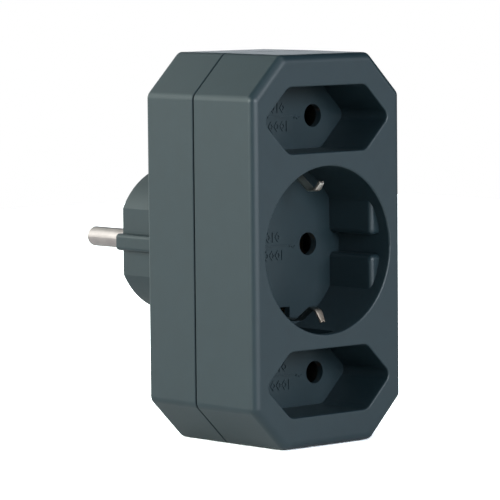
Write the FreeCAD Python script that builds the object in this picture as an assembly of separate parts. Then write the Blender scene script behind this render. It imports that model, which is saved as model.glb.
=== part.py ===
import FreeCAD
import Part
import math
import os

# A multi socket adapter: two flat two-pole outlets and one round earthed outlet on a plug.
# Millimetres. X is to the right as seen from the front, Z is up and Y runs from the front
# face to the plug pins. The origin is the centre of the plug's end face, between its pins.
# A depth is a distance behind the front face.

# Block, seen from the front
body_width = 46.9
body_height = 91.2
corner_cut = 9.7
long_edge_round = 2.2
least_edge_round = 0.3
wall = 2.2

# Block, from front to back
front_plate = 2.4
front_shell_depth = 20.2
rear_shell_depth = 17.0
rear_wall = 2.2
front_draft = 0.2
front_edge_round = 1.9
rear_edge_round = 1.0
seam_bevel = 0.15
seam_gap = 0.4
seam_gap_depth = 0.6
tongue_height = 1.6
tongue_thickness = 1.0
shell_clearance = 0.1

# Pins of the plug, and of the plugs that go in
pin_spacing = 19.0
pin_radius = 2.4
pin_length = 19.0
pin_tip_round = 1.6

# Round earthed outlet in the middle
round_side_margin = 3.95
round_recess_depth = 17.5
round_well_wall = 1.8
flat_side_step = 3.0
flat_side_setback = 3.3
flat_side_round = 1.1
key_groove_round = 1.3
key_groove_width = 4.7
finger_channel_width = 7.0
finger_channel_depth = 1.2
finger_channel_front = 2.0
finger_slot_far_margin = 5.0
finger_slot_near_margin = 1.8

# Flat two-pole outlets above and below it
flat_end_margin = 3.75
flat_top_margin = 7.55
outlet_web = 3.25
flat_shoulder_round = 3.0
flat_tip_round = 2.0
flat_recess_depth = 15.5
flat_well_wall = 1.6

# All three outlets
outlet_hole_radius = 2.7
floor_thickness = 1.8
rim_round = 0.4

# Plug body on the back
plug_radius = 17.7
plug_reach = 18.5
plug_flat_distance = 15.8
plug_key_distance = 18.0
plug_key_width = 4.0
plug_key_round = 0.9
plug_wall = 1.7
plug_face_plate = 2.5
plug_edge_round = 0.6

# Plug pins, inside the plug body
pin_boss_radius = 4.6
pin_shank_radius = 2.7
pin_collar_radius = 3.8
pin_collar_thickness = 1.5
pin_collar_gap = 2.4
pin_rivet_radius = 1.4
pin_rivet_head_radius = 2.2
pin_rivet_head_height = 0.8

# Contact springs that grip a pin
spring_thickness = 0.5
spring_web_share = 0.5
spring_width = 5.4
spring_grip_gap = 3.6
spring_open_gap = 5.2
spring_mouth_gap = 5.7
spring_bend = 1.0
spring_pin_clearance = 0.15
spring_floor_gap = 0.7
spring_carrier_gap = 1.5
spring_tab_reach = 8.7
spring_tab_round = 1.0
spring_rivet_offset = 6.2

# Contact bars, on the inner side of the pins
bar_thickness = 0.9
bar_setback = 1.5
bar_end_margin = 2.7
bar_corner_round = 1.2
bar_tab_width = 7.0
bar_bend = 1.2
tip_room = 1.7
rivet_radius = 1.0
rivet_head_radius = 1.8
rivet_head_height = 0.6
head_round_share = 0.6

# Earth strap
strap_thickness = 1.0
strap_width = 6.0
strap_sink = 1.5
strap_bend = 1.5
strap_hook = 1.4
strap_end_gap = 0.5
strap_rivet_margin = 4.2

# The two sprung earth fingers
finger_thickness = 0.5
finger_width = 2.4
finger_foot_overlap = 3.0
finger_foot_bend = 1.2
finger_arm_margin = 2.6
finger_shoulder_depth = 10.4
finger_bulge_depth = 5.6
finger_bulge_margin = 6.0
finger_bulge_bend = 1.4
finger_crest_depth = 3.7
finger_crest_margin = 5.3
finger_tip_depth = 2.2
finger_tip_margin = 2.7
finger_tip_width = 1.8
finger_tip_round = 0.8

# Carrier plate for the bars and the strap
carrier_thickness = 2.0
carrier_edge_gap = 0.4
carrier_back_gap = 1.5
carrier_hole_radius = 3.1
slot_clearance = 0.2
rib_thickness = 1.2
rib_height = 4.0
rib_clearance = 0.1
middle_rib_gap = 1.3
middle_rib_length = 4.5
outlet_rib_reach = 5.9
outlet_rib_length = 2.0
rail_height = 1.5
rail_half_length = 13.0
support_rib_plug_gap = 4.3
support_rib_outlet_gap = 7.2
support_rib_half_length = 12.0
post_radius = 2.0
post_gap = 0.1

# Housing screws, from the back
screw_edge_distance = 4.85
screw_recess_gap = 0.1
screw_radius = 1.5
screw_length = 20.0
screw_point_length = 2.25
screw_point_radius = 0.45
screw_head_radius = 2.7
screw_head_height = 1.9
screw_head_round = 0.75
screw_recess_radius = 3.0
screw_recess_depth = 3.0
screw_hole_radius = 1.7
screw_cross_length = 3.2
screw_cross_width = 0.8
screw_cross_depth = 1.1
front_boss_radius = 3.0
rear_boss_radius = 4.0
boss_gap = 0.1
pilot_spare_depth = 1.0

# How far a cut runs past a surface, how far joined parts sink in, and when two places match
past = 1.0
sink = 0.5
match = 0.0001

# Places that follow from the sizes above, seen from the front
pin_x = pin_spacing / 2
round_recess_radius = body_width / 2 - round_side_margin
flat_side_distance = round_recess_radius - flat_side_step
flat_recess_half_length = body_width / 2 - flat_end_margin
flat_recess_top = body_height / 2 - flat_top_margin
flat_recess_bottom = round_recess_radius + outlet_web
flat_recess_offset = (flat_recess_top + flat_recess_bottom) / 2
flat_recess_half_height = (flat_recess_top - flat_recess_bottom) / 2
outlets = {"upper": flat_recess_offset, "middle": 0.0, "lower": -flat_recess_offset}
screw_x = body_width / 2 - screw_edge_distance
screw_z = round_recess_radius + screw_recess_gap
bar_outer_x = pin_x - pin_radius - spring_pin_clearance - spring_thickness
bar_inner_x = bar_outer_x - bar_thickness
web_outer_x = bar_outer_x + spring_thickness
strap_outer_distance = plug_radius - strap_sink
strap_leg_distance = strap_outer_distance - strap_thickness / 2
strap_inner_distance = strap_outer_distance - strap_thickness
earth_rivet_offset = strap_inner_distance - strap_rivet_margin

# Places that follow from the sizes above, from front to back
body_depth = front_shell_depth + rear_shell_depth
plug_end = body_depth + plug_reach
front_y = -plug_end
round_floor_back = round_recess_depth + floor_thickness
flat_floor_back = flat_recess_depth + floor_thickness
rear_wall_front = body_depth - rear_wall
carrier_back = rear_wall_front - carrier_back_gap
carrier_front = carrier_back - carrier_thickness
spring_front = round_floor_back + spring_floor_gap
spring_back = carrier_front - spring_carrier_gap
spring_web_front = spring_back - (spring_back - spring_front) * spring_web_share
rivet_depth = (spring_web_front + spring_back) / 2
bar_front = spring_front + bar_setback
foot_front = round_recess_depth + pin_length + tip_room
foot_back = foot_front + bar_thickness
face_plate_front = plug_end - plug_face_plate
collar_front = foot_back + pin_collar_gap
pin_boss_front = collar_front + pin_collar_thickness
strap_front = carrier_front - strap_thickness
tongue_front = front_shell_depth - tongue_height
screw_seat = body_depth - screw_recess_depth

NORMALS = {"front": (0, 1, 0), "side": (1, 0, 0), "top": (0, 0, 1)}


def point(plane, u, v, w):
    """A point in space from sketch coordinates u and v on a plane and a height w on it."""
    if plane == "front":
        return FreeCAD.Vector(u, front_y + w, v)
    if plane == "side":
        return FreeCAD.Vector(w, front_y + u, v)
    return FreeCAD.Vector(u, front_y + v, w)


def unit(start, end):
    """The direction from one sketch point to another."""
    length = math.hypot(end[0] - start[0], end[1] - start[1])
    return ((end[0] - start[0]) / length, (end[1] - start[1]) / length)


def rounded_corner(before, corner, after, radius):
    """The start, middle and end of the arc that rounds a corner, or the bare corner."""
    u, v = corner
    a, b = unit(corner, before), unit(corner, after)
    half = math.acos(max(-1.0, min(1.0, a[0] * b[0] + a[1] * b[1]))) / 2
    if radius <= 0 or half > math.pi / 2 - match:
        return corner, None, corner
    back = radius / math.tan(half)
    inward = radius / math.sin(half) - radius
    c = unit((0, 0), (a[0] + b[0], a[1] + b[1]))
    start = (u + a[0] * back, v + a[1] * back)
    end = (u + b[0] * back, v + b[1] * back)
    return start, (u + c[0] * inward, v + c[1] * inward), end


def rounded_wire(plane, corners, rounds, w):
    """A closed outline through the corners, each rounded by its own radius."""
    count = len(corners)
    arcs = []
    for i, corner in enumerate(corners):
        arcs.append(rounded_corner(corners[i - 1], corner, corners[(i + 1) % count], rounds[i]))
    edges = []
    for i, (start, middle, end) in enumerate(arcs):
        if middle is not None:
            arc = [point(plane, *p, w) for p in (start, middle, end)]
            edges.append(Part.Arc(*arc).toShape())
        following = arcs[(i + 1) % count][0]
        if math.dist(end, following) > match:
            line = [point(plane, *p, w) for p in (end, following)]
            edges.append(Part.LineSegment(*line).toShape())
    return Part.Wire(edges)


def prism(plane, corners, rounds, start, end):
    """A rounded outline drawn on a plane and pulled from one height to another."""
    if not isinstance(rounds, (list, tuple)):
        rounds = [rounds] * len(corners)
    face = Part.Face(rounded_wire(plane, corners, rounds, start))
    return face.extrude(FreeCAD.Vector(*NORMALS[plane]) * (end - start))


def block(x, depth, z):
    """A box between pairs of limits, in x, depth and z."""
    corner = FreeCAD.Vector(min(x), front_y + min(depth), min(z))
    sizes = [max(pair) - min(pair) for pair in (x, depth, z)]
    return Part.makeBox(*sizes, corner)


def rod(radius, start, end, x, z):
    """A cylinder along Y between two depths."""
    base = FreeCAD.Vector(x, front_y + start, z)
    return Part.makeCylinder(radius, end - start, base, FreeCAD.Vector(0, 1, 0))


def cross_rod(radius, start, end, z):
    """A cylinder along X at the depth of the contact rivets."""
    base = FreeCAD.Vector(start, front_y + rivet_depth, z)
    return Part.makeCylinder(radius, end - start, base, FreeCAD.Vector(1, 0, 0))


def turned(profile, x, z):
    """A turned piece: a profile of (radius, depth) corners spun about an axis along Y."""
    corners = [FreeCAD.Vector(x + r, front_y + d, z) for r, d in profile]
    face = Part.Face(Part.makePolygon(corners + corners[:1]))
    return face.revolve(FreeCAD.Vector(x, 0, z), FreeCAD.Vector(0, 1, 0), 360)


def bent_strip(plane, path, bends, thickness, start, end):
    """Sheet metal bent along a path, the middle of its thickness, with a radius for each bend."""
    sides = {1: ([], []), -1: ([], [])}
    runs = [unit(p, q) for p, q in zip(path, path[1:])]
    bends = [0] + list(bends) + [0]
    for i, (u, v) in enumerate(path):
        a = runs[max(i - 1, 0)]
        b = runs[min(i, len(runs) - 1)]
        share = thickness / 2 / (1 + a[0] * b[0] + a[1] * b[1])
        normal = (-(a[1] + b[1]) * share, (a[0] + b[0]) * share)
        turn = math.copysign(thickness / 2, a[0] * b[1] - a[1] * b[0])
        for side, (corners, rounds) in sides.items():
            corners.append((u + side * normal[0], v + side * normal[1]))
            rounds.append(bends[i] - side * turn if bends[i] else 0)
    corners = sides[1][0] + sides[-1][0][::-1]
    rounds = sides[1][1] + sides[-1][1][::-1]
    return prism(plane, corners, rounds, start, end)


def edges_at(shape, depth):
    """The edges that lie wholly at one depth."""
    y = front_y + depth
    return [e for e in shape.Edges if all(abs(p.Y - y) < match for p in e.Vertexes)]


def mirrored(shape, axis):
    """A copy of the shape on the other side of the middle plane across an axis."""
    return shape.mirror(FreeCAD.Vector(0, 0, 0), FreeCAD.Vector(*axis))


def both_sides(shape):
    """A shape and its copy on the other side of the middle plane."""
    return [shape, mirrored(shape, (1, 0, 0))]


def both_ends(shape):
    """A shape and its copy below the middle plane."""
    return [shape, mirrored(shape, (0, 0, 1))]


def four_ways(shape):
    """A shape and its copies across both middle planes."""
    return both_ends(shape) + [mirrored(s, (1, 0, 0)) for s in both_ends(shape)]


def solid_of(shape):
    """The one solid in a shape, with its split faces joined."""
    return shape.removeSplitter().Solids[0]


def export(shape, name):
    """Write one piece, or one node's group of like pieces."""
    solids = [solid_of(s) for s in shape.Solids]
    whole = solids[0] if len(solids) == 1 else Part.makeCompound(solids)
    whole.exportStep("parts/" + name + ".step")


def body_outline(inset):
    """The corners of the block's eight-sided outline, moved in by an inset, and their round."""
    half_width = body_width / 2 - inset
    half_height = body_height / 2 - inset
    cut = corner_cut - inset * (2 - math.sqrt(2))
    quarter = [(half_width, half_height - cut), (half_width - cut, half_height)]
    corners = quarter + [(-x, z) for x, z in quarter[::-1]]
    corners += [(-x, -z) for x, z in quarter] + [(x, -z) for x, z in quarter[::-1]]
    return corners, max(long_edge_round - inset, least_edge_round)


def body_section(inset, start, end):
    """The block's section, moved in by an inset, between two depths."""
    corners, edge_round = body_outline(inset)
    return prism("front", corners, edge_round, start, end)


def drafted_front():
    """The front shell's outside: narrower towards the front face, bevelled at the seam."""
    sections = ((front_draft, 0), (0, front_shell_depth - seam_bevel))
    sections += ((seam_bevel, front_shell_depth),)
    wires = []
    for inset, depth in sections:
        corners, edge_round = body_outline(inset)
        wires.append(rounded_wire("front", corners, [edge_round] * len(corners), depth))
    return Part.makeLoft(wires, True, True)


def flat_section(offset, grow, start, end):
    """The flat outlet's six-sided section, grown by a wall, between two depths."""
    half_height = flat_recess_half_height + grow
    half_length = flat_recess_half_length + grow * math.sqrt(2)
    shoulder = half_length - half_height
    corners = [(half_length, offset), (shoulder, offset + half_height)]
    corners += [(-shoulder, offset + half_height), (-half_length, offset)]
    corners += [(-shoulder, offset - half_height), (shoulder, offset - half_height)]
    rounds = [flat_tip_round, flat_shoulder_round, flat_shoulder_round] * 2
    return prism("front", corners, [r + grow for r in rounds], start, end)


def round_recess():
    """The round outlet's hollow: full round at its mouth, flat-sided and keyed below."""
    mouth = rod(round_recess_radius, -past, flat_side_setback, 0, 0)
    bore = rod(round_recess_radius, 0, round_recess_depth, 0, 0)
    reach = round_recess_radius + past
    depth = (0, round_recess_depth)
    flats = (-flat_side_distance, flat_side_distance)
    deep = bore.common(block(flats, depth, (-reach, reach)))
    half_key = key_groove_width / 2
    keys = bore.common(block((-reach, reach), depth, (-half_key, half_key)))
    recess = solid_of(mouth.fuse([deep, keys]))
    recess = solid_of(recess.makeFillet(key_groove_round, key_corners(recess)))
    return recess.makeFillet(flat_side_round, flat_side_shoulders(recess))


def key_corners(recess):
    """The edges along Y where the key grooves leave the flat sides."""
    half_key = key_groove_width / 2
    found = []
    for e in recess.Edges:
        at_flat = all(abs(abs(p.X) - flat_side_distance) < match for p in e.Vertexes)
        if at_flat and all(abs(abs(p.Z) - half_key) < match for p in e.Vertexes):
            found.append(e)
    return found


def flat_side_shoulders(recess):
    """The front edges of the flat sides and of their key grooves, without the round wall."""
    found = []
    for e in edges_at(recess, flat_side_setback):
        if any(math.hypot(p.X, p.Z) < round_recess_radius - match for p in e.Vertexes):
            found.append(e)
    return found


def front_shell():
    """The front shell's plate and walls, open at the back, with a rebate for the tongue."""
    shell = drafted_front()
    shell = shell.makeFillet(front_edge_round, edges_at(shell, 0))
    back = front_shell_depth + past
    rebate_front = tongue_front - shell_clearance
    rebate = body_section(wall - tongue_thickness - shell_clearance, rebate_front, back)
    return shell.cut([body_section(wall, front_plate, back), rebate])


def front_fittings():
    """The wells around the outlets, the hold-down posts and the screw bosses."""
    start = front_plate / 2
    fittings = [rod(round_recess_radius + round_well_wall, start, round_floor_back, 0, 0)]
    for offset in (outlets["upper"], outlets["lower"]):
        fittings.append(flat_section(offset, flat_well_wall, start, flat_floor_back))
        fittings.append(rod(post_radius, flat_recess_depth, carrier_front - post_gap, 0, offset))
    boss = rod(front_boss_radius, start, front_shell_depth - boss_gap, screw_x, screw_z)
    return fittings + four_ways(boss)


def outlet_recesses():
    """The hollows of the three outlets."""
    recesses = [round_recess()]
    for offset in (outlets["upper"], outlets["lower"]):
        recesses.append(flat_section(offset, 0, -past, flat_recess_depth))
    return recesses


def outlet_rims(shell):
    """The rims of the three recesses in the front face."""
    faces = [f for f in shell.Faces if len(edges_at(f, 0)) == len(f.Edges)]
    front = max(faces, key=lambda f: f.Area)
    inner = [wire for wire in front.Wires if not wire.isSame(front.OuterWire)]
    return [edge for wire in inner for edge in wire.Edges]


def floor_cuts():
    """The pin holes and finger slots in the floors, the finger channels and the screw pilots."""
    cuts = []
    front, back = flat_recess_depth - past, round_floor_back + past
    for offset in outlets.values():
        cuts += both_sides(rod(outlet_hole_radius, front, back, pin_x, offset))
    across = (-finger_channel_width / 2, finger_channel_width / 2)
    far = round_recess_radius - finger_slot_far_margin
    near = round_recess_radius - finger_slot_near_margin
    cuts += both_ends(block(across, (round_recess_depth - past, back), (far, near)))
    channel_depth = (finger_channel_front, round_recess_depth)
    channel_floor = round_recess_radius + finger_channel_depth
    cuts += both_ends(block(across, channel_depth, (near, channel_floor)))
    pilot_front = screw_seat - screw_length - pilot_spare_depth
    cuts += four_ways(rod(screw_radius, pilot_front, front_shell_depth + past, screw_x, screw_z))
    return cuts


def front_housing():
    """The front shell with its three wells, floors, screw bosses and hold-down posts."""
    shell = front_shell().fuse(front_fittings())
    shell = solid_of(shell.cut(outlet_recesses()))
    shell = shell.makeFillet(rim_round, outlet_rims(shell))
    return shell.cut(floor_cuts())


def plug_body():
    """The plug's outside: a round stub with a flat and a key rib on each side."""
    round_stub = rod(plug_radius, rear_wall_front, plug_end, 0, 0)
    reach = plug_radius + past
    flats = (-plug_flat_distance, plug_flat_distance)
    depth = (rear_wall_front, plug_end)
    stub = round_stub.common(block(flats, depth, (-reach, reach)))
    half_key = plug_key_width / 2
    corners = [(plug_key_distance, half_key), (-plug_key_distance, half_key)]
    corners += [(-plug_key_distance, -half_key), (plug_key_distance, -half_key)]
    key = prism("front", corners, plug_key_round, *depth)
    stub = stub.fuse(key).removeSplitter()
    return stub.makeFillet(plug_edge_round, edges_at(stub, plug_end))


def plug_hollow():
    """The space inside the plug body, open towards the block."""
    inner = plug_flat_distance - plug_wall
    depth = (rear_wall_front - past, face_plate_front)
    bore = rod(plug_radius - plug_wall, *depth, 0, 0)
    return bore.common(block((-inner, inner), depth, (-plug_radius, plug_radius)))


def rear_shell():
    """The rear shell's walls with their tongue and the hollow plug body."""
    seam_back = front_shell_depth + seam_gap
    shell = body_section(0, seam_back, body_depth)
    shell = shell.makeFillet(rear_edge_round, edges_at(shell, body_depth))
    shell = shell.makeChamfer(seam_bevel, edges_at(shell, seam_back))
    land = body_section(seam_gap_depth, front_shell_depth, seam_back + sink)
    tongue = body_section(wall - tongue_thickness, tongue_front, seam_back + sink)
    boss_relief = front_boss_radius + shell_clearance
    reliefs = four_ways(rod(boss_relief, tongue_front - past, front_shell_depth, screw_x, screw_z))
    shell = shell.fuse([land, tongue.cut(reliefs), plug_body()])
    well_relief = round_recess_radius + round_well_wall + shell_clearance
    well_back = round_floor_back + shell_clearance
    inside = body_section(wall, tongue_front - past, rear_wall_front)
    return shell.cut([rod(well_relief, 0, well_back, 0, 0), inside, plug_hollow()])


def strap_seat():
    """The height of the floor under the earth strap's hooked end, from the middle."""
    return strap_leg_distance - strap_hook - strap_thickness


def rear_fittings():
    """The pin bosses, screw bosses, strap backings and the ribs that support the carrier."""
    pin_boss = rod(pin_boss_radius, pin_boss_front, face_plate_front + sink, pin_x, 0)
    screw_boss = rod(rear_boss_radius, front_shell_depth, rear_wall_front + sink, screw_x, screw_z)
    half = strap_width / 2 + slot_clearance + plug_wall
    backing_depth = (rear_wall_front, plug_end - plug_edge_round)
    backing_height = (strap_seat() - plug_wall, plug_radius - plug_wall + sink)
    backing = block((-half, half), backing_depth, backing_height)
    fittings = both_sides(pin_boss) + four_ways(screw_boss) + both_ends(backing)
    across = (-support_rib_half_length, support_rib_half_length)
    depth = (carrier_back, rear_wall_front + sink)
    for place in (plug_radius + support_rib_plug_gap, outlets["upper"] + support_rib_outlet_gap):
        height = (place - rib_thickness / 2, place + rib_thickness / 2)
        fittings += both_ends(block(across, depth, height))
    return fittings


def rear_cuts():
    """The strap's channels, the pins' bores and the screws' holes."""
    half = strap_width / 2 + slot_clearance
    across = (-half, half)
    floor = strap_inner_distance - slot_clearance / 2
    passage_height = (floor, strap_outer_distance + slot_clearance)
    passage = block(across, (rear_wall_front - past, body_depth + past), passage_height)
    channel = block(across, (body_depth, plug_end + past), (floor, plug_radius + past))
    pocket_depth = (plug_end - strap_hook - 2 * strap_thickness, plug_end + past)
    pocket = block(across, pocket_depth, (strap_seat(), plug_radius))
    cuts = both_ends(passage) + both_ends(channel) + both_ends(pocket)
    cuts += both_sides(rod(pin_shank_radius, pin_boss_front - past, plug_end + past, pin_x, 0))
    front, back = front_shell_depth - past, body_depth + past
    cuts += four_ways(rod(screw_hole_radius, front, back, screw_x, screw_z))
    cuts += four_ways(rod(screw_recess_radius, screw_seat, back, screw_x, screw_z))
    return cuts


def rear_housing():
    """The rear shell with the plug body, pin bosses, strap channels and screw bosses."""
    return rear_shell().fuse(rear_fittings()).cut(rear_cuts())


def plug_pin():
    """A turned pin: rivet end, shank, collar and the rounded pin that goes into a socket."""
    head_front = foot_front - pin_rivet_head_height
    tip = plug_end + pin_length
    profile = [
        (0, head_front),
        (pin_rivet_head_radius, head_front),
        (pin_rivet_head_radius, foot_front),
        (pin_rivet_radius, foot_front),
        (pin_rivet_radius, foot_back),
        (pin_shank_radius, foot_back),
        (pin_shank_radius, collar_front),
        (pin_collar_radius, collar_front),
        (pin_collar_radius, pin_boss_front),
        (pin_shank_radius, pin_boss_front),
        (pin_shank_radius, plug_end),
        (pin_radius, plug_end),
        (pin_radius, tip),
        (0, tip),
    ]
    pin = turned(profile, pin_x, 0)
    pin = pin.makeFillet(pin_tip_round, edges_at(pin, tip))
    return pin.makeFillet(pin_rivet_head_height * head_round_share, edges_at(pin, head_front))


def tab_direction(name):
    """Which way the riveted tab of an outlet's springs points: down at the lower outlet."""
    return -1 if name == "lower" else 1


def rivet_heights():
    """The height of each contact rivet."""
    return [z + tab_direction(n) * spring_rivet_offset for n, z in outlets.items()]


def spring_leaf():
    """The upper of the two leaves that pinch a pin."""
    half = spring_thickness / 2
    waist = (spring_front + spring_web_front) / 2
    path = [
        (spring_back, spring_open_gap / 2 + half),
        (spring_web_front, spring_open_gap / 2 + half),
        (waist, spring_grip_gap / 2 + half),
        (spring_front, spring_mouth_gap / 2 + half),
    ]
    across = (web_outer_x - half, web_outer_x + spring_width)
    return bent_strip("side", path, [spring_bend] * 2, spring_thickness, *across)


def contact_spring(name):
    """A folded spring: two leaves, and a web with a tab that is riveted to the bar."""
    low = -(spring_open_gap / 2 + spring_thickness)
    corners = [(spring_web_front, low), (spring_back, low)]
    corners += [(spring_back, spring_tab_reach), (spring_web_front, spring_tab_reach)]
    rounds = [0, 0, spring_tab_round, spring_tab_round]
    web = prism("side", corners, rounds, bar_outer_x, web_outer_x)
    hole = cross_rod(rivet_radius, bar_outer_x - past, web_outer_x + past, spring_rivet_offset)
    spring = web.fuse(both_ends(spring_leaf())).cut(hole)
    if tab_direction(name) < 0:
        spring = mirrored(spring, (0, 0, 1))
    return spring.translated(FreeCAD.Vector(0, 0, outlets[name]))


def contact_bar():
    """A stamped bar on edge, with a tab bent round behind the incoming pin to the plug pin."""
    top = outlets["upper"] + spring_rivet_offset + bar_end_margin
    corners = [(bar_front, top), (carrier_front, top), (carrier_front, -top), (bar_front, -top)]
    strip = prism("side", corners, bar_corner_round, bar_inner_x, bar_outer_x)
    middle_x = (bar_inner_x + bar_outer_x) / 2
    foot_depth = (foot_front + foot_back) / 2
    foot_end = pin_x + pin_shank_radius
    path = [(middle_x, carrier_front - past), (middle_x, foot_depth), (foot_end, foot_depth)]
    half_tab = bar_tab_width / 2
    tab = bent_strip("top", path, [bar_bend], bar_thickness, -half_tab, half_tab)
    holes = [rod(pin_rivet_radius, foot_front - past, foot_back + past, pin_x, 0)]
    for z in rivet_heights():
        holes.append(cross_rod(rivet_radius, bar_inner_x - past, bar_outer_x + past, z))
    return strip.fuse(tab).cut(holes)


def contact_rivet(z):
    """A rivet through the bar and a spring's web, with a domed head at each end."""
    pieces = [cross_rod(rivet_radius, bar_inner_x, web_outer_x, z)]
    inner, outer = bar_inner_x - rivet_head_height, web_outer_x + rivet_head_height
    for start, end, outside in ((inner, bar_inner_x, inner), (web_outer_x, outer, outer)):
        head = cross_rod(rivet_head_radius, start, end, z)
        rims = [e for e in head.Edges if all(abs(p.X - outside) < match for p in e.Vertexes)]
        pieces.append(head.makeFillet(rivet_head_height * head_round_share, rims))
    return pieces[0].fuse(pieces[1:])


def earth_strap():
    """A U-shaped strap: its web joins the fingers, its legs run out along the plug."""
    web_depth = strap_front + strap_thickness / 2
    hook_depth = plug_end - strap_end_gap
    bend_depth = hook_depth - strap_hook
    leg = [(hook_depth, strap_leg_distance - strap_hook), (bend_depth, strap_leg_distance)]
    leg.append((web_depth, strap_leg_distance))
    path = leg + [(d, -z) for d, z in leg[::-1]]
    half = strap_width / 2
    bends = [strap_bend] * (len(path) - 2)
    strap = bent_strip("side", path, bends, strap_thickness, -half, half)
    hole = rod(rivet_radius, strap_front - past, carrier_front + past, 0, earth_rivet_offset)
    return strap.cut(both_ends(hole))


def finger_outline():
    """The finger seen from above, narrow and rounded at its tip, through its full height."""
    half, tip = finger_width / 2, finger_tip_width / 2
    front = finger_tip_depth - finger_thickness
    corners = [(half, strap_front), (half, finger_bulge_depth), (tip, front)]
    corners += [(-x, depth) for x, depth in corners[::-1]]
    rounds = [0, finger_width, finger_tip_round]
    return prism("top", corners, rounds + rounds[::-1], 0, round_recess_radius)


def earth_finger():
    """A sprung finger: riveted foot, arm through the floor slot, bulge and rounded tip."""
    foot_depth = strap_front - finger_thickness / 2
    arm = round_recess_radius - finger_arm_margin
    path = [
        (foot_depth, earth_rivet_offset - finger_foot_overlap),
        (foot_depth, arm),
        (finger_shoulder_depth, arm),
        (finger_bulge_depth, round_recess_radius - finger_bulge_margin),
        (finger_crest_depth, round_recess_radius - finger_crest_margin),
        (finger_tip_depth, round_recess_radius - finger_tip_margin),
    ]
    bends = [finger_foot_bend] + [finger_bulge_bend] * 3
    half = finger_width / 2
    finger = bent_strip("side", path, bends, finger_thickness, -half, half)
    front = strap_front - finger_thickness - past
    hole = rod(rivet_radius, front, strap_front + past, 0, earth_rivet_offset)
    return finger.common(finger_outline()).cut(hole)


def earth_rivet():
    """A rivet that clamps a finger's foot to the strap, flush in the carrier behind it."""
    front = strap_front - finger_thickness
    head_front = front - rivet_head_height
    head = rod(rivet_head_radius, head_front, front, 0, earth_rivet_offset)
    head = head.makeFillet(rivet_head_height * head_round_share, edges_at(head, head_front))
    shank = rod(rivet_radius, front, carrier_front, 0, earth_rivet_offset)
    tail_back = carrier_front + rivet_head_height
    tail = rod(rivet_head_radius, carrier_front, tail_back, 0, earth_rivet_offset)
    return head.fuse([shank, tail])


def carrier_ribs():
    """The ribs that hold the bars on edge and the rails beside the earth strap."""
    ribs = []
    depth = (carrier_front - rib_height, carrier_front + sink)
    middle = spring_tab_reach + middle_rib_gap
    outer = outlets["upper"] - outlet_rib_reach
    heights = ((middle, middle + middle_rib_length), (outer, outer + outlet_rib_length))
    inner_side = bar_inner_x - rib_clearance
    outer_side = bar_outer_x + rib_clearance
    for height in heights:
        ribs += four_ways(block((inner_side - rib_thickness, inner_side), depth, height))
        ribs += four_ways(block((outer_side, outer_side + rib_thickness), depth, height))
    rail = strap_width / 2 + rib_clearance
    rail_depth = (carrier_front - rail_height, carrier_front + sink)
    length = (-rail_half_length, rail_half_length)
    return ribs + both_sides(block((rail, rail + rib_thickness), rail_depth, length))


def carrier_cuts():
    """The carrier's ways through for pins, bar tabs, strap legs, rivet tails and screw bosses."""
    span = (carrier_front - rib_height - past, carrier_back + past)
    cuts = four_ways(rod(rear_boss_radius + slot_clearance, *span, screw_x, screw_z))
    for offset in outlets.values():
        cuts += both_sides(rod(carrier_hole_radius, *span, pin_x, offset))
    half_strap = strap_width / 2 + slot_clearance
    leg_inner = strap_inner_distance - strap_bend - slot_clearance
    leg_z = (leg_inner, strap_outer_distance + slot_clearance)
    cuts += both_ends(block((-half_strap, half_strap), span, leg_z))
    half_tab = bar_tab_width / 2 + slot_clearance
    tab_x = (bar_inner_x - slot_clearance, bar_outer_x + bar_bend)
    cuts += both_sides(block(tab_x, (carrier_front, span[1]), (-half_tab, half_tab)))
    pocket_radius = rivet_head_radius + slot_clearance
    pocket_back = carrier_front + rivet_head_height + slot_clearance
    return cuts + both_ends(rod(pocket_radius, carrier_front, pocket_back, 0, earth_rivet_offset))


def contact_carrier():
    """The insulating plate that the bars stand on and the earth strap lies on."""
    plate = body_section(wall + carrier_edge_gap, carrier_front, carrier_back)
    return plate.fuse(carrier_ribs()).cut(carrier_cuts())


def housing_screw():
    """A self-tapping screw with a cross recess in its head."""
    tip = screw_seat - screw_length
    head_back = screw_seat + screw_head_height
    profile = [
        (0, tip),
        (screw_point_radius, tip),
        (screw_radius, tip + screw_point_length),
        (screw_radius, screw_seat),
        (screw_head_radius, screw_seat),
        (screw_head_radius, head_back),
        (0, head_back),
    ]
    screw = turned(profile, screw_x, screw_z)
    screw = screw.makeFillet(screw_head_round, edges_at(screw, head_back))
    long, short = screw_cross_length / 2, screw_cross_width / 2
    depth = (head_back - screw_cross_depth, head_back + past)
    for half_x, half_z in ((long, short), (short, long)):
        x = (screw_x - half_x, screw_x + half_x)
        screw = screw.cut(block(x, depth, (screw_z - half_z, screw_z + half_z)))
    return screw


def shared_pieces():
    """The pieces that serve both poles or the whole block."""
    finger = earth_finger()
    return {
        "front_housing": front_housing(),
        "rear_housing": rear_housing(),
        "contact_carrier": contact_carrier(),
        "earth_strap": earth_strap(),
        "earth_finger_upper": finger,
        "earth_finger_lower": mirrored(finger, (0, 0, 1)),
        "earth_rivets": Part.makeCompound(both_ends(earth_rivet())),
        "housing_screws": Part.makeCompound(four_ways(housing_screw())),
    }


def pole_pieces(side):
    """The bar, pin, rivets and springs of one pole; the live pole is the left one."""
    rivets = Part.makeCompound([contact_rivet(z) for z in rivet_heights()])
    pieces = {side + "_bar": contact_bar(), side + "_pin": plug_pin(), side + "_rivets": rivets}
    for name in outlets:
        pieces[side + "_contact_" + name] = contact_spring(name)
    if side == "live":
        return {name: mirrored(shape, (1, 0, 0)) for name, shape in pieces.items()}
    return pieces


def main():
    """Build every piece and write each to its own file."""
    os.makedirs("parts", exist_ok=True)
    pieces = {**shared_pieces(), **pole_pieces("neutral"), **pole_pieces("live")}
    for name, shape in pieces.items():
        export(shape, name)


main()
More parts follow.
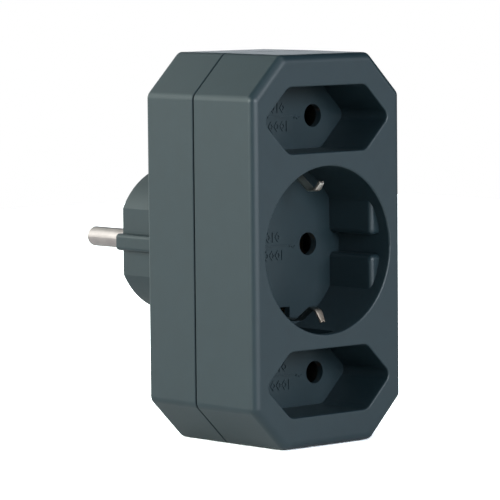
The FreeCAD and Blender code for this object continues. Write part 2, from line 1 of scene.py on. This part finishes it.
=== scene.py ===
"""Dresses a multi socket adapter: moulded shells, plated pins and earth fingers, brass inside.

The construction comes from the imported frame. This script gives every piece its finish, adds
the fine moulded detail, and sets up a pale studio with the camera at the photograph's angle.
Lengths are metres. X is to the right seen from the front, Y runs back to the pins, Z is up.
"""
import logging
import math
from dataclasses import dataclass, field
from enum import Enum

import bmesh
import bpy
from mathutils import Euler, Matrix, Vector


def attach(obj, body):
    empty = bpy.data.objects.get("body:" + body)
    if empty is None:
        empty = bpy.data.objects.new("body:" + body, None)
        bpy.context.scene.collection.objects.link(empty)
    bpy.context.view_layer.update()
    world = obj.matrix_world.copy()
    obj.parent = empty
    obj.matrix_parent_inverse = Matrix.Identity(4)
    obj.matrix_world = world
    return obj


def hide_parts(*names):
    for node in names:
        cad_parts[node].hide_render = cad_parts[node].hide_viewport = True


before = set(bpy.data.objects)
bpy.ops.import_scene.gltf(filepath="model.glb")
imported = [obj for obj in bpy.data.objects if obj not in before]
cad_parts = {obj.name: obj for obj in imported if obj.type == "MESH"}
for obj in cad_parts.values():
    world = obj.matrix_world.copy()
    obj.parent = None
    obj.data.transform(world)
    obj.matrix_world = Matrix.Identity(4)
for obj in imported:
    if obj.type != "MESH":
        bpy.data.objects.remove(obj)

logging.basicConfig(level=logging.INFO, format="%(message)s")
LOG = logging.getLogger("adapter")

MM = 0.001
ROOT = "root"
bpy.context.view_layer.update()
FRONT_FACE = -55.7 * MM
OBJECT_MIDDLE = Vector((0, -35 * MM, 0))
CORNER = math.radians(40)
MERGE_DISTANCE = 0.001 * MM
CUT_DISTANCE = 0.0001 * MM
MARK_SINK = 0.03 * MM
MARK_LINE = 0.34


class Outlet(Enum):
    """The three outlets in the front face: their centres' height and their floors' depth."""

    UPPER = (30.4 * MM, 15.5 * MM)
    MIDDLE = (0.0, 17.5 * MM)
    LOWER = (-30.4 * MM, 15.5 * MM)

    @property
    def height(self) -> float:
        """The height of the outlet's centre."""
        return self.value[0]

    @property
    def floor(self) -> float:
        """The place of the outlet's floor along Y."""
        return FRONT_FACE + self.value[1]


class Grain(Enum):
    """Which way the fine lines of a metal finish run."""

    NONE = 0
    ALONG_Y = 1
    ALONG_Z = 2


class NodeTree:
    """A small helper that adds and joins the nodes of one material."""

    def __init__(self, name: str) -> None:
        """Start an empty material.

        Args:
            name: The material's name.
        """
        self.material = bpy.data.materials.new(name)
        self.material.use_nodes = True
        self.tree = self.material.node_tree
        self.tree.nodes.clear()
        self.output = self.add("ShaderNodeOutputMaterial")

    def add(self, kind: str, **settings: object) -> bpy.types.Node:
        """Add a node and set its plain properties.

        Args:
            kind: Blender's name for the type of node.
            settings: Properties of the node and their values.

        Returns:
            The new node.
        """
        node = self.tree.nodes.new(kind)
        for key, value in settings.items():
            setattr(node, key, value)
        return node

    def join(self, source: bpy.types.NodeSocket, target: bpy.types.NodeSocket) -> None:
        """Link an output socket to an input socket."""
        self.tree.links.new(source, target)

    def coordinates(self) -> bpy.types.NodeSocket:
        """Return the piece's own object coordinates."""
        return self.add("ShaderNodeTexCoord").outputs["Object"]

    def noise(
        self, size: float, detail: float = 3.0, stretch: Vector | None = None
    ) -> bpy.types.NodeSocket:
        """Add a noise pattern.

        Args:
            size: The length of one lump of the pattern, in metres.
            detail: How many finer layers it has.
            stretch: Scale of the pattern along each axis, or None for an even one.

        Returns:
            The pattern's value, from 0 to 1.
        """
        mapping = self.add("ShaderNodeMapping")
        mapping.inputs["Scale"].default_value = stretch or Vector((1, 1, 1))
        self.join(self.coordinates(), mapping.inputs["Vector"])
        node = self.add("ShaderNodeTexNoise")
        node.inputs["Scale"].default_value = 1 / size
        node.inputs["Detail"].default_value = detail
        self.join(mapping.outputs["Vector"], node.inputs["Vector"])
        return node.outputs["Fac"]

    def ramp(
        self, value: bpy.types.NodeSocket, stops: list[tuple[float, tuple]]
    ) -> bpy.types.NodeSocket:
        """Turn a value into a colour.

        Args:
            value: The value to read.
            stops: Pairs of a place from 0 to 1 and a linear colour of three numbers.

        Returns:
            The colour socket.
        """
        node = self.add("ShaderNodeValToRGB")
        elements = node.color_ramp.elements
        while len(elements) < len(stops):
            elements.new(0.5)
        for element, (place, colour) in zip(elements, stops):
            element.position = place
            element.color = (*colour, 1.0)
        self.join(value, node.inputs["Fac"])
        return node.outputs["Color"]

    def spread(self, value: bpy.types.NodeSocket, low: float, high: float) -> bpy.types.NodeSocket:
        """Map a 0 to 1 pattern onto a range.

        Args:
            value: The pattern.
            low: What 0 becomes.
            high: What 1 becomes.

        Returns:
            The mapped value.
        """
        node = self.add("ShaderNodeMapRange")
        node.inputs["To Min"].default_value = low
        node.inputs["To Max"].default_value = high
        self.join(value, node.inputs["Value"])
        return node.outputs["Result"]

    def bump(
        self,
        value: bpy.types.NodeSocket,
        height: float,
        below: bpy.types.NodeSocket | None = None,
    ) -> bpy.types.NodeSocket:
        """Add a bump, on top of another one if given.

        Args:
            value: The height pattern.
            height: Its full height in metres.
            below: The normal of the bump it lies on.

        Returns:
            The bumped normal.
        """
        node = self.add("ShaderNodeBump")
        node.inputs["Strength"].default_value = 1.0
        node.inputs["Distance"].default_value = height
        self.join(value, node.inputs["Height"])
        if below is not None:
            self.join(below, node.inputs["Normal"])
        return node.outputs["Normal"]

    def surface(self) -> bpy.types.Node:
        """Add the surface shader and join it to the output."""
        node = self.add("ShaderNodeBsdfPrincipled")
        self.join(node.outputs["BSDF"], self.output.inputs["Surface"])
        return node


@dataclass(frozen=True)
class MouldedPlastic:
    """Spark-eroded moulded plastic: an even colour, a fine grain and a soft satin gloss."""

    name: str
    colour: tuple[float, float, float]
    shade: float = 0.06
    mottle_size: float = 3.5 * MM
    mottle_stops: tuple[float, float] = (0.3, 0.7)
    roughness: tuple[float, float] = (0.40, 0.48)
    ior: float = 1.5
    grain_size: float = 0.22 * MM
    grain_height: float = 0.004 * MM
    wave_size: float = 14 * MM
    wave_height: float = 0.02 * MM

    def build(self) -> bpy.types.Material:
        """Return the finished material."""
        nodes = NodeTree(self.name)
        surface = nodes.surface()
        mottle = nodes.noise(self.mottle_size, detail=5.0)
        dark = tuple(c * (1 - self.shade) for c in self.colour)
        light = tuple(c * (1 + self.shade) for c in self.colour)
        colour = nodes.ramp(mottle, list(zip(self.mottle_stops, (dark, light))))
        nodes.join(colour, surface.inputs["Base Color"])
        grain = nodes.noise(self.grain_size, detail=2.0)
        nodes.join(nodes.spread(grain, *self.roughness), surface.inputs["Roughness"])
        wave = nodes.bump(nodes.noise(self.wave_size, detail=1.0), self.wave_height)
        nodes.join(nodes.bump(grain, self.grain_height, wave), surface.inputs["Normal"])
        surface.inputs["IOR"].default_value = self.ior
        return nodes.material


@dataclass(frozen=True)
class Metal:
    """A bare or plated metal with fine drawing or turning lines and slight tarnish.

    Where a painted shade colour is given, the metal keeps its own colour up to one depth behind
    the front face and fades to that painted colour by a deeper one: painted shade on a finger's
    arm, which sits back in its channel, and on the upper finger a painted reflection of the
    greenish plastic around it.
    """

    name: str
    colour: tuple[float, float, float]
    tarnish: tuple[float, float, float]
    roughness: tuple[float, float] = (0.16, 0.30)
    grain: Grain = Grain.NONE
    patch_size: float = 2.5 * MM
    patch_stops: tuple[float, float] = (0.35, 0.6)
    line_size: float = 0.6 * MM
    line_height: float = 0.002 * MM
    across_lines: float = 6.0
    along_lines: float = 0.4
    painted_arm_shade: tuple[float, float, float] | None = None
    painted_shade_starts: float = 3.8 * MM
    painted_shade_full_from: float = 5.9 * MM

    def stretch(self) -> Vector:
        """Return the pattern's scale along each axis for the finish's lines."""
        if self.grain is Grain.ALONG_Y:
            return Vector((self.across_lines, self.along_lines, self.across_lines))
        if self.grain is Grain.ALONG_Z:
            return Vector((self.across_lines, self.across_lines, self.along_lines))
        return Vector((1, 1, 1))

    def paint_arm_shade(self, nodes: NodeTree, bright: bpy.types.NodeSocket) -> bpy.types.NodeSocket:
        """Paint shade onto the metal behind its tip, away from the front face.

        Args:
            nodes: The material's nodes.
            bright: The metal's own colour, kept near the front face.

        Returns:
            The colour that fades from the metal's own colour to the painted shade.
        """
        apart = nodes.add("ShaderNodeSeparateXYZ")
        nodes.join(nodes.coordinates(), apart.inputs["Vector"])
        fade = nodes.add("ShaderNodeMapRange", interpolation_type="SMOOTHSTEP")
        fade.inputs["From Min"].default_value = FRONT_FACE + self.painted_shade_full_from
        fade.inputs["From Max"].default_value = FRONT_FACE + self.painted_shade_starts
        nodes.join(apart.outputs["Y"], fade.inputs["Value"])
        blend = nodes.add("ShaderNodeMix", data_type="RGBA")
        blend.inputs["A"].default_value = (*self.painted_arm_shade, 1.0)
        nodes.join(fade.outputs["Result"], blend.inputs["Factor"])
        nodes.join(bright, blend.inputs["B"])
        return blend.outputs["Result"]

    def build(self) -> bpy.types.Material:
        """Return the finished material."""
        nodes = NodeTree(self.name)
        surface = nodes.surface()
        patches = nodes.noise(self.patch_size, detail=4.0)
        stops = list(zip(self.patch_stops, (self.tarnish, self.colour)))
        colour = nodes.ramp(patches, stops)
        # Paint shade on the arm behind the tip.
        if self.painted_arm_shade:
            colour = self.paint_arm_shade(nodes, colour)
        nodes.join(colour, surface.inputs["Base Color"])
        lines = nodes.noise(self.line_size, detail=3.0, stretch=self.stretch())
        nodes.join(nodes.spread(lines, *self.roughness), surface.inputs["Roughness"])
        nodes.join(nodes.bump(lines, self.line_height), surface.inputs["Normal"])
        surface.inputs["Metallic"].default_value = 1.0
        return nodes.material


ANTHRACITE = MouldedPlastic("anthracite_plastic", (0.009, 0.021, 0.027))
NATURAL = MouldedPlastic("natural_plastic", (0.62, 0.58, 0.48), roughness=(0.42, 0.52))
NICKEL_TURNED = Metal(
    "turned_nickel",
    (0.435, 0.375, 0.367),
    (0.37, 0.319, 0.313),
    (0.30, 0.42),
    Grain.ALONG_Z,
)
NICKEL_STRIP = Metal("nickel_strip", (0.80, 0.76, 0.70), (0.62, 0.56, 0.48), grain=Grain.ALONG_Y)
# The upper finger fades back from its tip to a painted greenish grey: painted shade and a painted
# reflection of the plastic around its arm.
NICKEL_COINED = Metal(
    "coined_nickel",
    (0.62, 0.57, 0.52),
    (0.46, 0.40, 0.34),
    (0.36, 0.48),
    Grain.ALONG_Y,
    painted_arm_shade=(0.52, 0.56, 0.52),
    painted_shade_starts=3.3 * MM,
    painted_shade_full_from=5.6 * MM,
)
# The lower finger fades back from its tip to a painted near black: painted shade on its arm in the
# channel.
NICKEL_PAINTED_SHADE = Metal(
    "nickel_painted_shade",
    (0.50, 0.43, 0.37),
    (0.38, 0.31, 0.25),
    (0.38, 0.50),
    Grain.ALONG_Y,
    painted_arm_shade=(0.11, 0.13, 0.13),
    painted_shade_starts=3.0 * MM,
    painted_shade_full_from=4.5 * MM,
)
BRASS = Metal("stamped_brass", (0.44, 0.36, 0.23), (0.28, 0.22, 0.14), grain=Grain.ALONG_Z)
BRONZE = Metal("spring_bronze", (0.80, 0.55, 0.36), (0.56, 0.36, 0.22), grain=Grain.ALONG_Y)
ZINC = Metal("zinc_plate", (0.70, 0.71, 0.73), (0.55, 0.55, 0.56), roughness=(0.24, 0.38))


@dataclass
class Finishes:
    """The object's materials, and which nodes of the frame wear each."""

    wear: dict[MouldedPlastic | Metal, list[str]] = field(
        default_factory=lambda: {
            ANTHRACITE: ["front_housing", "rear_housing"],
            NATURAL: ["contact_carrier"],
            NICKEL_TURNED: ["live_pin", "neutral_pin"],
            NICKEL_STRIP: ["earth_strap"],
            NICKEL_COINED: ["earth_finger_upper"],
            NICKEL_PAINTED_SHADE: ["earth_finger_lower"],
            BRASS: ["live_bar", "neutral_bar", "live_rivets", "neutral_rivets", "earth_rivets"],
            BRONZE: [
                f"{side}_contact_{outlet.name.lower()}"
                for side in ("live", "neutral")
                for outlet in Outlet
            ],
            ZINC: ["housing_screws"],
        }
    )

    def dress(self) -> None:
        """Give every node of the frame its material."""
        for finish, names in self.wear.items():
            material = finish.build()
            for name in names:
                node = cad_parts[name]
                for slot in node.material_slots:
                    slot.material = material
                LOG.info("dressed %s in %s", name, finish.name)


def add_piece(name: str, shape: bmesh.types.BMesh, finish: str) -> bpy.types.Object:
    """Turn a finished mesh into a piece that rides on the block.

    Args:
        name: The piece's name.
        shape: The mesh, in the object's own frame. It is used up.
        finish: The name of the material that the piece wears.

    Returns:
        The new piece.
    """
    mesh = bpy.data.meshes.new(name)
    shape.to_mesh(mesh)
    shape.free()
    mesh.materials.append(bpy.data.materials[finish])
    piece = bpy.data.objects.new(name, mesh)
    bpy.context.scene.collection.objects.link(piece)
    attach(piece, ROOT)
    LOG.info("built %s", name)
    return piece


class MarkKind(Enum):
    """The shapes that the small marks on the floors have."""

    BAR = "bar"
    LOZENGE = "lozenge"
    WAVE = "wave"


@dataclass(frozen=True)
class Mark:
    """One small mark on an outlet's floor, with its centre and size in millimetres."""

    kind: MarkKind
    x: float
    z: float
    width: float
    height: float
    line: float = MARK_LINE
    wave_steps: int = 12

    def place(self) -> Matrix:
        """Return the turn into the floor's plane and the move to the mark's centre."""
        centre = Matrix.Translation((self.x * MM, 0, self.z * MM))
        return centre @ Matrix.Rotation(math.radians(90), 4, "X")

    def add_lozenge(self, shape: bmesh.types.BMesh) -> None:
        """Add a flat lozenge with an open middle.

        Args:
            shape: The mesh that takes the lozenge.
        """
        size = Matrix.Diagonal((self.width / 2 * MM, self.height / 2 * MM, 1, 1))
        made = bmesh.ops.create_circle(
            shape, cap_ends=True, segments=4, radius=1, matrix=self.place() @ size
        )
        middle = made["verts"][0].link_faces[0]
        bmesh.ops.inset_region(
            shape,
            faces=[middle],
            thickness=self.line * MM,
            use_even_offset=True,
            use_boundary=True,
        )
        bmesh.ops.delete(shape, geom=[middle], context="FACES_ONLY")

    def add_strip(self, shape: bmesh.types.BMesh) -> None:
        """Add a flat strip, straight for a bar and bent up and down for a wave.

        Args:
            shape: The mesh that takes the strip.
        """
        swing, thick = 0.0, self.height
        if self.kind is MarkKind.WAVE:
            swing, thick = (self.height - self.line) / 2 * MM, self.line
        size = Matrix.Diagonal((self.width * MM, thick * MM, 1, 1))
        made = bmesh.ops.create_grid(
            shape,
            x_segments=self.wave_steps,
            y_segments=1,
            size=0.5,
            matrix=self.place() @ size,
        )
        for vert in made["verts"]:
            share = (vert.co.x / MM - self.x) / self.width
            vert.co.z += swing * math.sin(2 * math.pi * (share + 0.5))

    def add_to(self, shape: bmesh.types.BMesh) -> None:
        """Add the mark's flat outline to a mesh."""
        if self.kind is MarkKind.LOZENGE:
            self.add_lozenge(shape)
        else:
            self.add_strip(shape)


@dataclass(frozen=True)
class FloorMarks:
    """Small plain marks moulded on an outlet's floor: two rows, above and below a long bar.

    The rows' places and sizes are in millimetres from the outlet's centre.
    """

    outlet: Outlet
    rise: float = 0.22 * MM
    long_bar: Mark = Mark(MarkKind.BAR, -0.9, 0.0, 7.9, MARK_LINE)
    wave: Mark = Mark(MarkKind.WAVE, 4.3, -0.3, 1.7, 0.9)
    row_height: float = 2.15
    tall: float = 2.4
    narrow: float = 1.7
    upper_lozenges: tuple[float, ...] = (-3.2, -0.2)
    upper_bars: tuple[float, ...] = (-4.7, -1.7)
    lower_lozenges: tuple[float, ...] = (-3.8, -2.0, -0.2)
    lower_bars: tuple[float, ...] = (1.2,)

    def row(self, kind: MarkKind, places: tuple[float, ...], z: float) -> list[Mark]:
        """Lay marks of one kind in a row.

        Args:
            kind: The kind of mark, a bar or a lozenge.
            places: Their centres along the row.
            z: The row's height.

        Returns:
            The marks.
        """
        width = self.narrow if kind is MarkKind.LOZENGE else MARK_LINE
        return [Mark(kind, x, z, width, self.tall) for x in places]

    def marks(self) -> list[Mark]:
        """Return the marks of one floor."""
        marks = [self.long_bar, self.wave]
        marks += self.row(MarkKind.LOZENGE, self.upper_lozenges, self.row_height)
        marks += self.row(MarkKind.BAR, self.upper_bars, self.row_height)
        marks += self.row(MarkKind.LOZENGE, self.lower_lozenges, -self.row_height)
        marks += self.row(MarkKind.BAR, self.lower_bars, -self.row_height)
        return marks

    def build(self) -> None:
        """Make the marks as one piece that rides on the block."""
        name = f"floor_marks_{self.outlet.name.lower()}"
        shape = bmesh.new()
        for mark in self.marks():
            mark.add_to(shape)
        raised = bmesh.ops.extrude_face_region(shape, geom=shape.faces[:])
        moved = [item for item in raised["geom"] if isinstance(item, bmesh.types.BMVert)]
        bmesh.ops.translate(shape, vec=(0, -(self.rise + MARK_SINK), 0), verts=moved)
        foot = (0, self.outlet.floor + MARK_SINK, self.outlet.height)
        bmesh.ops.translate(shape, vec=foot, verts=shape.verts)
        bmesh.ops.recalc_face_normals(shape, faces=shape.faces)
        add_piece(name, shape, ANTHRACITE.name)


@dataclass(frozen=True)
class EarthFinger:
    """A sprung earth finger with a coined, rounded tip, in place of the plain bent strip."""

    node: str
    finish: Metal
    upwards: int
    half_width: float = 1.2 * MM
    crown: float = 0.40 * MM
    tip_drop: float = 0.8 * MM
    tip_taper: float = 0.3
    bulge_depth: float = 5.6 * MM
    tip_depth: float = 2.2 * MM
    edge_round: float = 0.10 * MM
    slices_across: int = 9
    slices_along: int = 16

    def slice(self, shape: bmesh.types.BMesh) -> None:
        """Cut the sprung part into a fine net, so that it can take a curve.

        Args:
            shape: The finger's mesh.
        """
        cuts: list[tuple[float | None, float | None]] = []
        for i in range(1, self.slices_across):
            cuts.append(((2 * i / self.slices_across - 1) * self.half_width, None))
        reach = self.bulge_depth - self.tip_depth
        for i in range(self.slices_along):
            cuts.append((None, FRONT_FACE + self.bulge_depth - reach * i / self.slices_along))
        for x, y in cuts:
            bmesh.ops.bisect_plane(
                shape,
                geom=shape.verts[:] + shape.edges[:] + shape.faces[:],
                dist=CUT_DISTANCE,
                plane_co=(x or 0, y or 0, 0),
                plane_no=(1, 0, 0) if y is None else (0, 1, 0),
            )

    def form(self, shape: bmesh.types.BMesh) -> None:
        """Crown the sprung part across its width and ease its tip away from the wall.

        Args:
            shape: The finger's mesh.
        """
        reach = self.bulge_depth - self.tip_depth
        for vert in shape.verts:
            share = (FRONT_FACE + self.bulge_depth - vert.co.y) / reach
            share = min(max(share, 0.0), 1.0)
            across = vert.co.x / self.half_width
            shift = self.crown * across * across * math.sqrt(share) - self.tip_drop * share * share
            vert.co.z += self.upwards * shift
            vert.co.x *= 1 - self.tip_taper * share**3

    def build(self) -> None:
        """Make the finger from its node's own mesh and put it in the node's place."""
        shape = bmesh.new()
        shape.from_mesh(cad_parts[self.node].data)
        bmesh.ops.remove_doubles(shape, verts=shape.verts, dist=MERGE_DISTANCE)
        sharp = [edge for edge in shape.edges if edge.calc_face_angle(0) > CORNER]
        bmesh.ops.bevel(
            shape,
            geom=sharp,
            offset=self.edge_round,
            segments=2,
            affect="EDGES",
            profile=0.5,
            material=-1,
        )
        self.slice(shape)
        self.form(shape)
        piece = add_piece(f"coined_{self.node}", shape, self.finish.name)
        piece.data.shade_smooth()
        piece.data.set_sharp_from_angle(angle=CORNER)
        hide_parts(self.node)


@dataclass(frozen=True)
class Lamp:
    """A soft square light, placed by its bearing from the front, its height and its distance."""

    name: str
    bearing: float
    height: float
    distance: float
    size: float
    power: float
    tint: tuple[float, float, float]

    def place(self) -> Vector:
        """Return where the lamp stands."""
        angle = math.radians(self.bearing)
        across, along = math.sin(angle), -math.cos(angle)
        return Vector((across * self.distance, along * self.distance, self.height))

    def build(self) -> None:
        """Add the lamp, aimed at the middle of the object."""
        light = bpy.data.lights.new(self.name, "AREA")
        light.size = self.size
        light.energy = self.power
        light.color = self.tint
        lamp = bpy.data.objects.new(self.name, light)
        lamp.location = self.place()
        lamp.visible_camera = False
        aim = OBJECT_MIDDLE - lamp.location
        lamp.rotation_euler = aim.to_track_quat("-Z", "Y").to_euler()
        bpy.context.scene.collection.objects.link(lamp)
        LOG.info("lit %s", self.name)


@dataclass(frozen=True)
class Camera:
    """The camera at the photograph's viewing angle.

    Lengths are metres and angles degrees, but the lens and its sensor are in millimetres.
    """

    place: tuple[float, float, float] = (-0.5574, -0.6549, 0.0695)
    yaw: float = 41.79
    pitch: float = -4.837
    roll: float = -0.525
    lens: float = 255.90
    sensor: float = 36.0
    shift: tuple[float, float] = (-0.0167, -0.0002)
    nearest: float = 0.01

    def build(self) -> None:
        """Add the camera and make it the scene's own."""
        data = bpy.data.cameras.new("camera")
        data.lens = self.lens
        data.sensor_width = self.sensor
        data.shift_x, data.shift_y = self.shift
        data.clip_start = self.nearest
        camera = bpy.data.objects.new("camera", data)
        turn = Euler((math.radians(90 + self.pitch), 0, math.radians(-self.yaw)))
        roll = Matrix.Rotation(math.radians(self.roll), 4, "Z")
        camera.matrix_world = Matrix.Translation(self.place) @ turn.to_matrix().to_4x4() @ roll
        bpy.context.scene.collection.objects.link(camera)
        bpy.context.scene.camera = camera


LEFT_TINT = (0.91, 1.0, 0.95)
FRONT_TINT = (0.93, 1.0, 1.07)
LAMPS = (
    Lamp("behind", 180, 0.50, 1.4, 1.2, 7.4, LEFT_TINT),
    Lamp("back_left", -160, 0.40, 1.3, 0.9, 4.9, LEFT_TINT),
    Lamp("far_left", -130, 0.35, 1.3, 0.8, 3.5, LEFT_TINT),
    Lamp("left", -100, 0.45, 1.2, 0.7, 17.0, LEFT_TINT),
    Lamp("front_fill", -15, 0.35, 1.2, 0.4, 10.0, FRONT_TINT),
    Lamp("front", 10, 0.25, 1.2, 0.35, 5.4, FRONT_TINT),
    Lamp("right_front", 52, 0.30, 1.2, 0.5, 1.6, FRONT_TINT),
    Lamp("top", 0, 1.2, 0.35, 0.8, 2.6, FRONT_TINT),
    Lamp("backdrop", 138, 0.16, 1.4, 0.5, 2.2, FRONT_TINT),
)


@dataclass
class Studio:
    """A pale floor, soft lights and the camera."""

    floor_z: float = -45.6 * MM
    floor_half: float = 0.6
    floor_tone: float = 0.82
    floor_gain: float = 3.4
    sky: float = 0.0

    def build_floor(self) -> None:
        """Make the pale floor, brighter to the camera than to the object."""
        mesh = bpy.data.meshes.new("floor")
        shape = bmesh.new()
        level = Matrix.Translation((0, 0, self.floor_z))
        bmesh.ops.create_grid(
            shape, x_segments=1, y_segments=1, size=self.floor_half, matrix=level
        )
        shape.to_mesh(mesh)
        shape.free()
        floor = bpy.data.objects.new("floor", mesh)
        bpy.context.scene.collection.objects.link(floor)
        nodes = NodeTree("pale_floor")
        tone = nodes.add("ShaderNodeMapRange")
        tone.inputs["To Min"].default_value = self.floor_tone
        tone.inputs["To Max"].default_value = self.floor_tone * self.floor_gain
        seen = nodes.add("ShaderNodeLightPath").outputs["Is Camera Ray"]
        nodes.join(seen, tone.inputs["Value"])
        surface = nodes.add("ShaderNodeBsdfDiffuse")
        nodes.join(tone.outputs["Result"], surface.inputs["Color"])
        nodes.join(surface.outputs["BSDF"], nodes.output.inputs["Surface"])
        floor.data.materials.append(nodes.material)

    def build_world(self) -> None:
        """Make the surroundings white behind the object, and leave its light to the lamps."""
        world = bpy.data.worlds.new("studio")
        world.use_nodes = True
        tree = world.node_tree
        strength = tree.nodes.new("ShaderNodeMapRange")
        strength.inputs["To Min"].default_value = self.sky
        strength.inputs["To Max"].default_value = 1.0
        ray = tree.nodes.new("ShaderNodeLightPath")
        tree.links.new(ray.outputs["Is Camera Ray"], strength.inputs["Value"])
        background = tree.nodes["Background"]
        background.inputs["Color"].default_value = (1.0, 1.0, 1.0, 1.0)
        tree.links.new(strength.outputs["Result"], background.inputs["Strength"])
        bpy.context.scene.world = world

    def build(self) -> None:
        """Build the whole studio."""
        self.build_floor()
        self.build_world()
        for lamp in LAMPS:
            lamp.build()
        Camera().build()
        bpy.context.scene.view_settings.view_transform = "Standard"


def main() -> None:
    """Build the object's looks and the studio."""
    Finishes().dress()
    for outlet in Outlet:
        FloorMarks(outlet).build()
    EarthFinger("earth_finger_upper", NICKEL_COINED, 1, tip_drop=1.3 * MM).build()
    EarthFinger("earth_finger_lower", NICKEL_PAINTED_SHADE, -1, tip_drop=0.1 * MM).build()
    Studio().build()
    bpy.context.view_layer.update()


if __name__ == "__main__":
    main()
